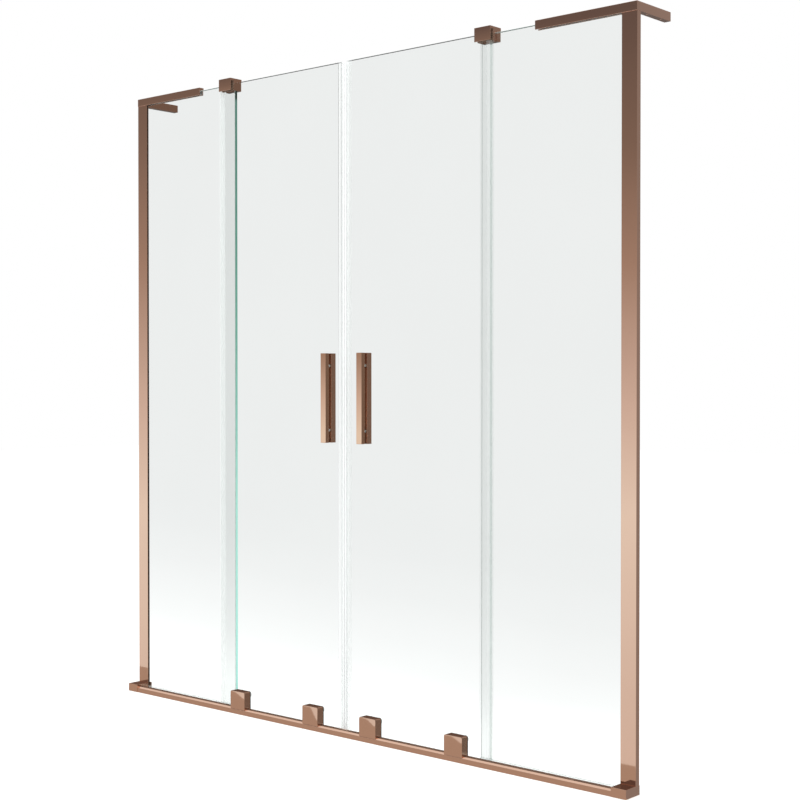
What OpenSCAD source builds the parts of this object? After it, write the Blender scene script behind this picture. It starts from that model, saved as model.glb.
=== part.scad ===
// Sliding bath screen: two fixed outer panes, two middle doors that roll apart on a bottom rail.
// Millimetres. X runs along the screen, Y from the room towards the bath, Z up.
// The origin is the middle of the rail's seat on the bath rim.
// Each half is drawn with u, the distance outwards from the line where the doors meet.

/* [Screen] */
// Width from wall to wall
overall_w = 1480; // [1470:10:1600]
// Height to the top of the wall brackets
overall_h = 1500; // [1200:10:1600]
// Meeting line of the doors, measured from the middle of the screen
meet_shift = -7; // [-10:1:10]
// Outward travel of each door
door_travel = 280; // [150:10:280]

/* [Glass] */
// Thickness of every pane
glass_t = 8; // [6:1:10]
// Width of a door pane
door_glass_w = 400; // [380:1:405]
// Meeting line to the inner edge of a door pane
door_edge_gap = 7.5; // [7:0.5:10]
// Overlap of a closed door and its fixed pane
overlap = 37; // [30:1:50]
// Gap between the door panes and the fixed panes
pane_gap = 6.8; // [6.5:0.1:9]
// Height of the lower edges of all panes
glass_foot = 8; // [7:0.5:10]
// Top edge of a fixed pane below the bracket's top
fixed_top_drop = 7.5; // [5:0.5:9]
// Top edge of a door pane below that of a fixed pane
door_top_drop = 2.5; // [2:0.5:4]
// Edge of a fixed pane to the wall
wall_play = 12; // [8:1:18]

/* [Rail] */
// Depth of the rail
rail_d = 16.5; // [16:0.5:20]
// Height of the rail
rail_h = 14; // [12:0.5:18]
// Size of the bevel along the rail's front edge
rail_bevel = 3.5; // [1:0.5:3.5]
// Depth of the groove that the rollers run in
groove_depth = 2.5; // [1.5:0.5:3]
// Length of a roller stop
stop_len = 8; // [5:1:15]

/* [End blocks] */
// Width of an end block, along the rail
end_w = 34; // [28:1:34]
// How far an end block stands out in front of the rail
end_front = 1; // [0:0.5:3]
// How far an end block stands out behind its wall profile
end_margin = 1.5; // [0.5:0.5:6]
// Height of an end block
end_h = 18.5; // [16:0.5:25]
// Radius of the dowels between the rail and its end blocks
dowel_r = 3; // [2:0.5:3.5]
// How deep a dowel sits in the rail and in the end block
dowel_grip = 20; // [12:1:24]

/* [Wall profiles] */
// Width of a wall profile, seen from the front
post_w = 34.3; // [30:0.1:40]
// Width of the wall profile's rear flange
post_rear_w = 28; // [26:0.5:30]
// Wall of the profile in front of and behind the pane
post_flange = 1.5; // [1.2:0.1:2]
// Web of the profile that lies on the wall
post_web = 2; // [1.5:0.5:3]
// Radius of the wall screw holes
wall_hole_r = 2.75; // [2:0.25:3.5]
// Height of the lowest wall screw hole
wall_hole_z = 150; // [80:10:300]
// How far the gasket shows beyond the profile
gasket_lip = 0.5; // [0.5:0.5:3]
// Thickness of the part of the gasket that shows
gasket_lip_t = 1; // [1:0.1:2]
// How deep the gasket reaches into the profile
gasket_grip = 10; // [6:1:14]

/* [Top brackets] */
// Length of the bracket's bar along the pane
bar_len = 236.5; // [150:0.5:300]
// Depth of the bar and thickness of the arm
bar_d = 14; // [13.5:0.5:16]
// Height of the bar and the arm
bar_h = 18; // [16:1:24]
// Length of the arm, from the bar's front
arm_len = 121; // [90:1:200]
// Radius of the stud holes in the arm
stud_r = 3; // [2:0.5:4]
// Depth of the stud holes
stud_depth = 9; // [6:1:9]
// Spacing of the stud holes
stud_pitch = 50; // [30:5:60]
// Radius of the set screws under the arm
set_screw_r = 2; // [1.5:0.5:2.5]

/* [Top guides] */
// Width of a guide along the screen
guide_w = 41; // [30:1:50]
// Height of a guide
guide_h = 28.5; // [24:0.5:36]
// Top of the guide above the brackets
guide_rise = 4.5; // [3:0.5:8]
// Roof of the guide above the door's slot
guide_roof = 5; // [3:0.5:8]
// Wall of the guide in front of the door
guide_front = 1.8; // [1.5:0.1:4]
// Wall of the guide behind the fixed pane
guide_rear = 10; // [6:0.5:12]
// Thickness of the glides beside the door pane
glide_t = 0.6; // [0.4:0.1:1]
// Radius of the guide's clamp screws
clamp_screw_r = 2.5; // [2:0.5:3]
// Spacing of the guide's clamp screws
clamp_pitch = 20; // [12:1:24]
// Height of the clamp screws above the guide's lower edge
clamp_rise = 8.5; // [5:0.5:9]

/* [Carriages] */
// Width of a carriage
carriage_w = 48; // [44:1:60]
// Wall of a carriage behind the rail
carriage_wall = 1.6; // [1.2:0.1:4]
// Thickness of the pad between a carriage and the door pane
pad_t = 2; // [1:0.5:4]
// Metal above the glass bolts' bushes
carriage_cap = 1.5; // [1:0.5:10]
// Radius of the carriage's upper corners
carriage_r = 4; // [2:0.5:8]
// Distance from a door pane's edge to the middle of a carriage
carriage_inset = 80; // [60:1:120]
// Radius of a roller
roller_r = 12; // [10:0.5:12]
// Width of a roller
roller_w = 6; // [5:0.5:6.5]
// Radius of an axle
axle_r = 2.5; // [2:0.5:3]
// Outer radius of a bearing
bearing_r = 6.5; // [5.5:0.5:8]
// Width of a bearing
bearing_w = 4; // [3:0.5:5]
// Radius of the head of a glass bolt
bolt_head_r = 6; // [5:0.5:6]
// Radius of the shank of a glass bolt
bolt_r = 3; // [2:0.5:3.5]
// Spacing of the two glass bolts of a carriage
bolt_pitch = 24; // [18:1:26]
// How deep a glass bolt reaches into its carriage
bolt_grip = 9; // [6:0.5:10]
// Wall of the bushes between the bolts and the glass
bush_wall = 1.4; // [1:0.1:1.6]

/* [Handles] */
// Length of a handle bar
handle_len = 200; // [170:10:400]
// Width of a handle bar
handle_w = 15.5; // [12:0.5:24]
// Depth of the front bar
handle_front_d = 11; // [9:0.5:16]
// Depth of the back bar
handle_back_d = 15; // [10:0.5:20]
// Height of the middle of the handles
handle_z = 747; // [600:1:900]
// Inner edge of the door pane to the middle of the handle
handle_inset = 47; // [35:1:60]
// Spacing of the handle's bolts
handle_pitch = 144; // [80:2:144]
// Radius of the handle's bolts
handle_bolt_r = 2.5; // [2:0.5:2.5]
// Radius of the heads of the handle's bolts
handle_head_r = 4.5; // [4:0.5:5]
// Depth of the holes that sink the heads in the back bar
handle_head_depth = 5; // [4:0.5:7]
// Depth of the threads in the front bar
handle_thread = 7; // [4:0.5:8]

/* [Seals] */
// Wall of the clear seals
seal_t = 1; // [0.8:0.1:1.2]
// How far the lips of the seals reach over the glass
seal_lip = 8.6; // [6:0.1:12]
// Height of the lips of the seals along the lower edges of the panes
foot_lip = 4; // [3:0.5:6]
// Gap between the rim and the fin of a drip seal
drip_gap = 1; // [0.5:0.5:3]
// Thickness of the liners between glass and metal
liner_t = 0.75; // [0.5:0.05:1]
// Width of the magnet strips
magnet_w = 3.5; // [2.5:0.5:4.5]

/* [Clearances] */
// Gap between moving pieces
running_gap = 0.3; // [0.2:0.05:0.5]
// Gap between the rail and a carriage
rail_gap = 0.4; // [0.3:0.05:0.6]
// Gap between a door pane and its glides
glide_gap = 0.25; // [0.2:0.05:0.4]
// Gap between a roller and the top of its cavity
cavity_gap = 1; // [0.5:0.5:2]
// Radial gap between a bearing and its axle
bearing_gap = 0.05; // [0.02:0.01:0.09]
// Radial gap between a bolt, or its bush, and the hole
bolt_gap = 0.1; // [0.05:0.05:0.2]
// Gap between glass and the seals that clip on it
clip_gap = 0.1; // [0.05:0.05:0.3]

/* [Hidden] */

LEFT = -1;
RIGHT = 1;
$fn = 48;
// Overshoot of a cut past the face that it opens
cut = 1;
// Radial gap of a screw in its thread, which is drawn as a plain hole
thread_gap = 0.02;
// Radial gap of a press fit
press_gap = 0.01;
// How far screws, axles and liners lie inside the face beside them
inset = 0.5;
// Depth of the hexagon socket in a screw
socket_depth = 2;
// Gap between the ends of the upright seals and what is above or below them
seal_end_gap = 1;
// How far the carriage's skirt reaches below the pane
skirt_drop = 2;
// How deep an axle sits in the carriage's front wall
axle_grip = 3;
// Depth of the recess that shows a bearing's race
race_depth = 0.4;
// How far a roller stop lies below the top of the groove
stop_drop = 0.2;

rose_gold = [0.78, 0.57, 0.46];
clear_glass = [0.75, 0.90, 0.87, 0.35];
clear_seal = [0.88, 0.93, 0.94, 0.5];
dark_rubber = [0.16, 0.14, 0.13];
steel = [0.72, 0.73, 0.75];
nylon = [0.90, 0.90, 0.88];
dark_plastic = [0.20, 0.15, 0.12];
magnet_white = [0.86, 0.87, 0.87];

// Planes across the screen, from the room to the bath
rail_front = -rail_d / 2;
rail_back = rail_d / 2;
carriage_back = rail_back + rail_gap + carriage_wall;
door_front = carriage_back + pad_t;
door_back = door_front + glass_t;
fixed_front = door_back + pane_gap;
fixed_back = fixed_front + glass_t;
slot_front = fixed_front - liner_t;
slot_back = fixed_back + liner_t;
fixed_mid = (fixed_front + fixed_back) / 2;
post_front = slot_front - post_flange;
post_back = slot_back + post_flange;
end_back = post_back + end_margin;
bar_front = fixed_mid - bar_d / 2;
bar_back = fixed_mid + bar_d / 2;
arm_back = bar_front + arm_len;
door_slot_front = door_front - glide_gap - glide_t;
door_slot_back = door_back + glide_gap + glide_t;
guide_front_y = door_slot_front - guide_front;
guide_back_y = slot_back + guide_rear;
head_seat = door_back - glass_t / 2;

// Levels
bar_foot = overall_h - bar_h;
fixed_top = overall_h - fixed_top_drop;
door_top = fixed_top - door_top_drop;
slot_top = fixed_top + liner_t;
guide_top = overall_h + guide_rise;
guide_foot = guide_top - guide_h;
groove_floor = rail_h - groove_depth;
roller_z = groove_floor + running_gap + roller_r;
cavity_top = roller_z + roller_r + cavity_gap;
bolt_seat_r = bolt_head_r + bolt_gap;
bush_r = bolt_seat_r + bush_wall;
glass_hole_r = bush_r + bolt_gap;
bolt_z = cavity_top + glass_hole_r;
carriage_top = bolt_z + glass_hole_r + carriage_cap;
skirt_foot = glass_foot - skirt_drop;
wall_hole_pitch = (overall_h - 2 * wall_hole_z) / 3;
stud_z = bar_foot + bar_h / 2;
clamp_z = guide_foot + clamp_rise;
dowel_z = groove_floor / 2;

// Distances from the meeting line
door_inner = door_edge_gap;
door_outer = door_edge_gap + door_glass_w;
fixed_inner = door_outer - overlap;
guide_u = (door_outer + fixed_inner) / 2;
carriage_outer_u = door_outer - carriage_inset;
carriage_inner_u = door_inner + carriage_inset;
handle_u = door_inner + handle_inset;
seal_outer = door_outer + clip_gap + seal_t;

// Distance from the meeting line to the wall on one side
function reach(side) = overall_w / 2 - side * meet_shift;

// Studs of an arm, spread about the middle of its free length
function stud_y(i) = (bar_back + arm_back) / 2 + i * stud_pitch;

// Hexagon socket of a screw with this radius
function socket_r(r) = 0.6 * r;

// Rollers, cavities and grooves
cavity_w = roller_w + 2 * running_gap;
groove_w = roller_w + 4 * running_gap;
cavity_len = 2 * roller_r + 4 * cavity_gap;
axle_front = -cavity_w / 2 - axle_grip;
axle_back = carriage_back - inset;
stop_h = groove_depth - stop_drop;
stop_reach = sqrt(pow(roller_r, 2) - pow(running_gap + roller_r - stop_h, 2));
stop_u = carriage_outer_u + door_travel + stop_reach + running_gap;

// Holes and screw heads
sleeve_r = handle_bolt_r + bolt_gap + bush_wall;
handle_hole_r = sleeve_r + bolt_gap;
handle_head_y = door_back + handle_back_d - handle_head_depth;

// Sets what it holds on one side of the meeting line
module half(side) {
    translate([meet_shift, 0, 0])
        mirror([side == LEFT ? 1 : 0, 0, 0])
            children();
}

// Box between two corners
module block(low, high) {
    translate(low)
        cube(high - low);
}

// Outline in Y and Z, drawn out along u from one place to another
module drawn_along_u(from, to) {
    translate([from, 0, 0])
        rotate([90, 0, 90])
            linear_extrude(height = to - from)
                children();
}

// Outline in u and Z, drawn out along Y from one plane to another
module drawn_along_y(from, to) {
    translate([0, to, 0])
        rotate([90, 0, 0])
            linear_extrude(height = to - from)
                children();
}

// Rod along Y
module rod_y(u, z, r, from, to) {
    translate([u, to, z])
        rotate([90, 0, 0])
            cylinder(h = to - from, r = r);
}

// Rod along u
module rod_u(y, z, r, from, to) {
    translate([from, y, z])
        rotate([0, 90, 0])
            cylinder(h = to - from, r = r);
}

// U-shaped wall profile, open towards the pane, with a shorter flange behind the pane
module wall_profile(side) {
    wall = reach(side);
    color(rose_gold)
        half(side)
            difference() {
                block([wall - post_w, post_front, end_h], [wall, post_back, bar_foot]);
                block([wall - post_w - cut, slot_front, end_h - cut],
                      [wall - post_web, slot_back, bar_foot + cut]);
                block([wall - post_w - cut, slot_back - cut, end_h - cut],
                      [wall - post_rear_w, post_back + cut, bar_foot + cut]);
                for (i = [0:3])
                    rod_u(fixed_mid, wall_hole_z + i * wall_hole_pitch, wall_hole_r,
                          wall - post_web - cut, wall + cut);
            }
}

// Two rubber strips that wedge the pane in its profile, each with a lip that shows
module profile_gasket(side) {
    mouth = reach(side) - post_w;
    rear_mouth = reach(side) - post_rear_w;
    color(dark_rubber)
        half(side) {
            block([mouth - gasket_lip, slot_front, end_h], [mouth + gasket_grip, fixed_front, bar_foot]);
            block([mouth - gasket_lip, fixed_front - gasket_lip_t, end_h], [mouth, fixed_front, bar_foot]);
            block([rear_mouth - gasket_lip, fixed_back, end_h],
                  [rear_mouth + gasket_grip, slot_back, bar_foot]);
            block([rear_mouth - gasket_lip, fixed_back, end_h],
                  [rear_mouth, fixed_back + gasket_lip_t, bar_foot]);
        }
}

module fixed_glass(side) {
    color(clear_glass)
        half(side)
            block([fixed_inner, fixed_front, glass_foot], [reach(side) - wall_play, fixed_back, fixed_top]);
}

// Clear strip under a fixed pane, with a low lip on each face of the glass
module sill_seal(side) {
    lip_top = glass_foot + foot_lip;
    out = clip_gap + seal_t;
    color(clear_seal)
        half(side)
            difference() {
                block([fixed_inner, fixed_front - out, 0], [reach(side) - end_w, fixed_back + out, lip_top]);
                block([fixed_inner - cut, fixed_front - clip_gap, glass_foot - clip_gap],
                      [reach(side) - end_w + cut, fixed_back + clip_gap, lip_top + cut]);
            }
}

// Channel bar over the fixed pane and an arm along the wall, cut from one bar
module top_bracket(side) {
    wall = reach(side);
    color(rose_gold)
        half(side)
            difference() {
                union() {
                    block([wall - bar_len, bar_front, bar_foot], [wall, bar_back, overall_h]);
                    block([wall - bar_d, bar_back - cut, bar_foot], [wall, arm_back, overall_h]);
                }
                block([wall - bar_len - cut, slot_front, bar_foot - cut],
                      [wall - wall_play + liner_t, slot_back, slot_top]);
                for (i = [-0.5, 0.5]) {
                    rod_u(stud_y(i), stud_z, stud_r, wall - stud_depth, wall + cut);
                    translate([wall - stud_depth / 2, stud_y(i), bar_foot - cut])
                        cylinder(h = stud_z - bar_foot, r = set_screw_r);
                }
            }
}

// Clear channel between the bar and the pane
module bracket_liner(side) {
    wall = reach(side);
    end = wall - wall_play;
    color(clear_seal)
        half(side)
            difference() {
                block([wall - bar_len + inset, slot_front, bar_foot + inset], [end, slot_back, slot_top]);
                block([wall - bar_len, fixed_front, bar_foot], [end + cut, fixed_back, fixed_top]);
            }
}

// Set screws that come up from under each arm onto its studs
module arm_set_screws() {
    length = stud_z - stud_r - bar_foot - 2 * inset;
    color(steel)
        for (side = [LEFT, RIGHT])
            half(side)
                for (i = [-0.5, 0.5])
                    translate([reach(side) - stud_depth / 2, stud_y(i), bar_foot + inset])
                        difference() {
                            cylinder(h = length, r = set_screw_r - thread_gap);
                            translate([0, 0, -cut])
                                cylinder(h = cut + socket_depth, r = socket_r(set_screw_r), $fn = 6);
                        }
}

// Solid bar with a bevelled front edge and a groove for the rollers
module bottom_rail() {
    color(rose_gold)
        translate([meet_shift, 0, 0])
            difference() {
                drawn_along_u(end_w - reach(LEFT), reach(RIGHT) - end_w)
                    polygon([[rail_front, 0], [rail_back, 0], [rail_back, rail_h],
                             [groove_w / 2, rail_h], [groove_w / 2, groove_floor],
                             [-groove_w / 2, groove_floor], [-groove_w / 2, rail_h],
                             [rail_front + rail_bevel, rail_h],
                             [rail_front, rail_h - rail_bevel]]);
                rod_u(0, dowel_z, dowel_r,
                      end_w - reach(LEFT) - cut, end_w - reach(LEFT) + dowel_grip);
                rod_u(0, dowel_z, dowel_r,
                      reach(RIGHT) - end_w - dowel_grip, reach(RIGHT) - end_w + cut);
            }
}

// Small blocks in the groove that stop the outer roller of each door
module rail_stops() {
    color(nylon)
        for (side = [LEFT, RIGHT])
            half(side)
                block([stop_u, running_gap - groove_w / 2, groove_floor],
                      [stop_u + stop_len, groove_w / 2 - running_gap, groove_floor + stop_h]);
}

// Foot of a wall profile: holds the end of the rail and the corner of the pane
module end_block(side) {
    wall = reach(side);
    color(rose_gold)
        half(side)
            difference() {
                block([wall - end_w, rail_front - end_front, 0], [wall, end_back, end_h]);
                block([wall - end_w - cut, slot_front, glass_foot],
                      [wall - wall_play + liner_t, slot_back, end_h + cut]);
                rod_u(0, dowel_z, dowel_r, wall - end_w - cut, wall - end_w + dowel_grip);
            }
}

// Dowels that are pressed in the rail's ends and in its end blocks
module rail_dowels() {
    color(steel)
        for (side = [LEFT, RIGHT])
            half(side)
                rod_u(0, dowel_z, dowel_r - press_gap,
                      reach(side) - end_w - dowel_grip, reach(side) - end_w + dowel_grip);
}

// Clamp on the top corner of a fixed pane, closed over the pane's edge and open for the door
module top_guide(side) {
    from = guide_u - guide_w / 2;
    to = guide_u + guide_w / 2;
    color(rose_gold)
        half(side)
            difference() {
                block([from, guide_front_y, guide_foot], [to, guide_back_y, guide_top]);
                block([from - cut, door_slot_front, guide_foot - cut],
                      [to + cut, door_slot_back, guide_top - guide_roof]);
                block([fixed_inner - liner_t, slot_front, guide_foot - cut], [to + cut, slot_back, slot_top]);
                for (i = [-0.5, 0.5])
                    rod_y(guide_u + i * clamp_pitch, clamp_z, clamp_screw_r,
                          slot_back - cut, guide_back_y + cut);
            }
}

// Dark plastic channel on the fixed pane and two glides beside the door
module guide_liner(side) {
    from = guide_u - guide_w / 2 + inset;
    to = guide_u + guide_w / 2 - inset;
    seat = max(from, fixed_inner - liner_t);
    foot = guide_foot + inset;
    color(dark_plastic)
        half(side) {
            difference() {
                block([seat, slot_front, foot], [to, slot_back, slot_top]);
                block([fixed_inner, fixed_front, guide_foot - cut], [to + cut, fixed_back, fixed_top]);
            }
            block([from, door_slot_front, foot], [to, door_slot_front + glide_t, door_top]);
            block([from, door_slot_back - glide_t, foot], [to, door_slot_back, door_top]);
        }
}

// Set screws that press each guide onto its pane
module guide_screws() {
    color(steel)
        for (side = [LEFT, RIGHT])
            half(side)
                for (i = [-0.5, 0.5])
                    translate([guide_u + i * clamp_pitch, guide_back_y - inset, clamp_z])
                        difference() {
                            rod_y(0, 0, clamp_screw_r - thread_gap, inset - guide_rear, 0);
                            rod_y(0, 0, socket_r(clamp_screw_r), -socket_depth, cut, $fn = 6);
                        }
}

// Door pane, drilled for its handle and its carriages
module door_glass(side) {
    color(clear_glass)
        half(side)
            difference() {
                block([door_inner, door_front, glass_foot], [door_outer, door_back, door_top]);
                for (u = [carriage_inner_u, carriage_outer_u], i = [-0.5, 0.5])
                    rod_y(u + i * bolt_pitch, bolt_z, glass_hole_r, door_front - cut, door_back + cut);
                for (i = [-0.5, 0.5])
                    rod_y(handle_u, handle_z + i * handle_pitch, handle_hole_r,
                          door_front - cut, door_back + cut);
            }
}

// Outline of a carriage from the front, with round upper corners
module carriage_outline(foot) {
    half_w = carriage_w / 2;
    translate([-half_w, foot])
        square([carriage_w, carriage_top - carriage_r - foot]);
    translate([carriage_r - half_w, foot])
        square([carriage_w - 2 * carriage_r, carriage_top - foot]);
    for (i = [-1, 1])
        translate([i * (half_w - carriage_r), carriage_top - carriage_r])
            circle(r = carriage_r);
}

// Block that stands on the rail, hides its roller and carries the door pane
module carriage(side, u) {
    nose = rail_h - rail_bevel + rail_gap * 1.25;
    color(rose_gold)
        half(side)
            translate([u, 0, 0])
                difference() {
                    drawn_along_y(rail_front, carriage_back)
                        carriage_outline(skirt_foot);
                    drawn_along_u(-carriage_w, carriage_w)
                        polygon([[rail_front - cut, 0], [rail_back + rail_gap, 0],
                                 [rail_back + rail_gap, rail_h + rail_gap],
                                 [rail_front + rail_bevel - rail_gap / 2, rail_h + rail_gap],
                                 [rail_front, nose], [rail_front - cut, nose]]);
                    block([-cavity_len / 2, -cavity_w / 2, 0], [cavity_len / 2, cavity_w / 2, cavity_top]);
                    rod_y(0, roller_z, axle_r, axle_front, carriage_back + cut);
                    for (i = [-0.5, 0.5])
                        rod_y(i * bolt_pitch, bolt_z, bolt_r, carriage_back - bolt_grip, carriage_back + cut);
                }
}

// Rubber pads between the carriages and the pane, with the same outline
module carriage_pads(side) {
    color(dark_rubber)
        half(side)
            for (u = [carriage_inner_u, carriage_outer_u])
                translate([u, 0, 0])
                    difference() {
                        drawn_along_y(carriage_back, door_front)
                            carriage_outline(glass_foot);
                        for (i = [-0.5, 0.5])
                            rod_y(i * bolt_pitch, bolt_z, bolt_r + bolt_gap,
                                  carriage_back - cut, door_front + cut);
                    }
}

// Bolts with flat heads, sunk in the door pane, that hold its two carriages
module glass_bolts(side) {
    color(steel)
        half(side)
            for (u = [carriage_inner_u, carriage_outer_u], i = [-0.5, 0.5])
                translate([u + i * bolt_pitch, 0, bolt_z])
                    difference() {
                        union() {
                            rod_y(0, 0, bolt_r - thread_gap, carriage_back - bolt_grip, door_back - inset);
                            rod_y(0, 0, bolt_head_r, head_seat, door_back - inset);
                        }
                        rod_y(0, 0, socket_r(bolt_r), door_back - inset - socket_depth, door_back, $fn = 6);
                    }
}

// Nylon bushes that keep the bolts off the glass
module glass_bushes(side) {
    color(nylon)
        half(side) {
            for (u = [carriage_inner_u, carriage_outer_u], i = [-0.5, 0.5])
                translate([u + i * bolt_pitch, 0, bolt_z])
                    difference() {
                        rod_y(0, 0, bush_r, door_front, door_back);
                        rod_y(0, 0, bolt_r + bolt_gap, door_front - cut, door_back + cut);
                        rod_y(0, 0, bolt_seat_r, head_seat, door_back + cut);
                    }
            for (i = [-0.5, 0.5])
                difference() {
                    rod_y(handle_u, handle_z + i * handle_pitch, sleeve_r, door_front, door_back);
                    rod_y(handle_u, handle_z + i * handle_pitch, handle_bolt_r + bolt_gap,
                          door_front - cut, door_back + cut);
                }
        }
}

// Steel pins that the rollers turn on
module axles(side) {
    color(steel)
        half(side)
            for (u = [carriage_inner_u, carriage_outer_u])
                rod_y(u, roller_z, axle_r - press_gap, axle_front, axle_back);
}

// Plastic tyre with a bore for its bearing
module roller(side, u) {
    color(nylon)
        half(side)
            difference() {
                rod_y(u, roller_z, roller_r, -roller_w / 2, roller_w / 2);
                rod_y(u, roller_z, bearing_r, -roller_w / 2 - cut, roller_w / 2 + cut);
            }
}

// Ball bearing, drawn as one ring with a shallow recess on each side
module bearing(side, u) {
    race = (bearing_r - axle_r) / 4;
    color(steel)
        half(side)
            difference() {
                rod_y(u, roller_z, bearing_r - press_gap, -bearing_w / 2, bearing_w / 2);
                rod_y(u, roller_z, axle_r + bearing_gap, -bearing_w, bearing_w);
                for (y = [-bearing_w / 2 - cut, bearing_w / 2 - race_depth])
                    difference() {
                        rod_y(u, roller_z, bearing_r - race, y, y + cut + race_depth);
                        rod_y(u, roller_z, axle_r + race, y - cut, y + 2 * cut + race_depth);
                    }
            }
}

// Clear profile on the meeting edge of a door, with a chamber for its magnet
module magnetic_seal(side) {
    nose = running_gap;
    out = clip_gap + seal_t;
    color(clear_seal)
        half(side)
            difference() {
                block([nose, door_front - out, glass_foot],
                      [door_inner + seal_lip, door_back + out, door_top]);
                block([door_inner - clip_gap, door_front - clip_gap, 0],
                      [door_inner + seal_lip + cut, door_back + clip_gap, overall_h]);
                block([nose + seal_t, door_front - clip_gap + seal_t / 2, 0],
                      [door_inner - clip_gap - seal_t, door_back + clip_gap - seal_t / 2, overall_h]);
            }
}

// Magnet strip inside the meeting seal
module magnet_strip(side) {
    from = running_gap + seal_t + clip_gap;
    color(magnet_white)
        half(side)
            block([from, door_front + seal_t, glass_foot + inset],
                  [from + magnet_w, door_back - seal_t, door_top - inset]);
}

// Clear profile on the outer edge of a door, with a fin that wipes the fixed pane
module side_seal(side) {
    out = clip_gap + seal_t;
    foot = glass_foot;
    fin_foot = glass_foot + foot_lip + seal_end_gap;
    head = guide_foot - seal_end_gap;
    color(clear_seal)
        half(side) {
            difference() {
                block([door_outer - seal_lip, door_front - out, foot], [seal_outer, door_back + out, head]);
                block([door_outer - seal_lip - cut, door_front - clip_gap, foot - cut],
                      [door_outer + clip_gap, door_back + clip_gap, head + cut]);
            }
            translate([0, 0, fin_foot])
                linear_extrude(height = head - fin_foot)
                    polygon([[seal_outer - seal_t, door_back + out], [seal_outer, door_back + out],
                             [seal_outer - 2 * seal_t, fixed_front - running_gap],
                             [seal_outer - 3 * seal_t, fixed_front - running_gap]]);
        }
}

// Clear strip under a door pane, with a lip behind the glass and a fin towards the rim
module drip_seal(side) {
    under = glass_foot - clip_gap;
    lip_back = door_back + clip_gap + seal_t;
    color(clear_seal)
        half(side)
            drawn_along_u(door_inner + seal_lip + clip_gap, door_outer - seal_lip - clip_gap)
                polygon([[door_front, under], [door_front, under - seal_t],
                         [door_back - 3 * seal_t, under - seal_t], [door_back - 4 * seal_t, drip_gap],
                         [door_back - 3 * seal_t, drip_gap], [door_back - 2 * seal_t, under - seal_t],
                         [lip_back, under - seal_t], [lip_back, glass_foot + foot_lip],
                         [lip_back - seal_t, glass_foot + foot_lip], [lip_back - seal_t, under]]);
}

// Bar in front of the door pane, tapped from behind
module handle_front(side) {
    color(rose_gold)
        half(side)
            difference() {
                block([handle_u - handle_w / 2, door_front - handle_front_d, handle_z - handle_len / 2],
                      [handle_u + handle_w / 2, door_front, handle_z + handle_len / 2]);
                for (i = [-0.5, 0.5])
                    rod_y(handle_u, handle_z + i * handle_pitch, handle_bolt_r,
                          door_front - handle_thread, door_front + cut);
            }
}

// Bar behind the door pane, with sunk bolt heads
module handle_back(side) {
    color(rose_gold)
        half(side)
            difference() {
                block([handle_u - handle_w / 2, door_back, handle_z - handle_len / 2],
                      [handle_u + handle_w / 2, door_back + handle_back_d, handle_z + handle_len / 2]);
                for (i = [-0.5, 0.5]) {
                    rod_y(handle_u, handle_z + i * handle_pitch, handle_bolt_r + bolt_gap,
                          door_back - cut, door_back + handle_back_d);
                    rod_y(handle_u, handle_z + i * handle_pitch, handle_head_r + bolt_gap,
                          handle_head_y, door_back + handle_back_d + cut);
                }
            }
}

// Bolts through both bars and the pane
module handle_bolts(side) {
    end = door_back + handle_back_d - inset;
    color(steel)
        half(side)
            for (i = [-0.5, 0.5])
                translate([handle_u, 0, handle_z + i * handle_pitch])
                    difference() {
                        union() {
                            rod_y(0, 0, handle_bolt_r - thread_gap, door_front - handle_thread, end);
                            rod_y(0, 0, handle_head_r, handle_head_y, end);
                        }
                        rod_y(0, 0, socket_r(handle_bolt_r), end - socket_depth, end + cut, $fn = 6);
                    }
}

wall_profile(LEFT);  // wall_profile_left
wall_profile(RIGHT);  // wall_profile_right
profile_gasket(LEFT);  // profile_gasket_left
profile_gasket(RIGHT);  // profile_gasket_right
fixed_glass(LEFT);  // fixed_glass_left
fixed_glass(RIGHT);  // fixed_glass_right
sill_seal(LEFT);  // sill_seal_left
sill_seal(RIGHT);  // sill_seal_right
top_bracket(LEFT);  // top_bracket_left
top_bracket(RIGHT);  // top_bracket_right
bracket_liner(LEFT);  // bracket_liner_left
bracket_liner(RIGHT);  // bracket_liner_right
arm_set_screws();
bottom_rail();
rail_stops();
end_block(LEFT);  // end_block_left
end_block(RIGHT);  // end_block_right
rail_dowels();
top_guide(LEFT);  // top_guide_left
top_guide(RIGHT);  // top_guide_right
guide_liner(LEFT);  // guide_liner_left
guide_liner(RIGHT);  // guide_liner_right
guide_screws();
door_glass(LEFT);  // door_glass_left
door_glass(RIGHT);  // door_glass_right
carriage(LEFT, carriage_outer_u);  // carriage_left_outer
carriage(LEFT, carriage_inner_u);  // carriage_left_inner
carriage(RIGHT, carriage_inner_u);  // carriage_right_inner
carriage(RIGHT, carriage_outer_u);  // carriage_right_outer
carriage_pads(LEFT);  // carriage_pads_left
carriage_pads(RIGHT);  // carriage_pads_right
glass_bolts(LEFT);  // glass_bolts_left
glass_bolts(RIGHT);  // glass_bolts_right
glass_bushes(LEFT);  // glass_bushes_left
glass_bushes(RIGHT);  // glass_bushes_right
axles(LEFT);  // axles_left
axles(RIGHT);  // axles_right
roller(LEFT, carriage_outer_u);  // roller_left_outer
roller(LEFT, carriage_inner_u);  // roller_left_inner
roller(RIGHT, carriage_inner_u);  // roller_right_inner
roller(RIGHT, carriage_outer_u);  // roller_right_outer
bearing(LEFT, carriage_outer_u);  // bearing_left_outer
bearing(LEFT, carriage_inner_u);  // bearing_left_inner
bearing(RIGHT, carriage_inner_u);  // bearing_right_inner
bearing(RIGHT, carriage_outer_u);  // bearing_right_outer
magnetic_seal(LEFT);  // magnetic_seal_left
magnetic_seal(RIGHT);  // magnetic_seal_right
magnet_strip(LEFT);  // magnet_strip_left
magnet_strip(RIGHT);  // magnet_strip_right
side_seal(LEFT);  // side_seal_left
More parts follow.
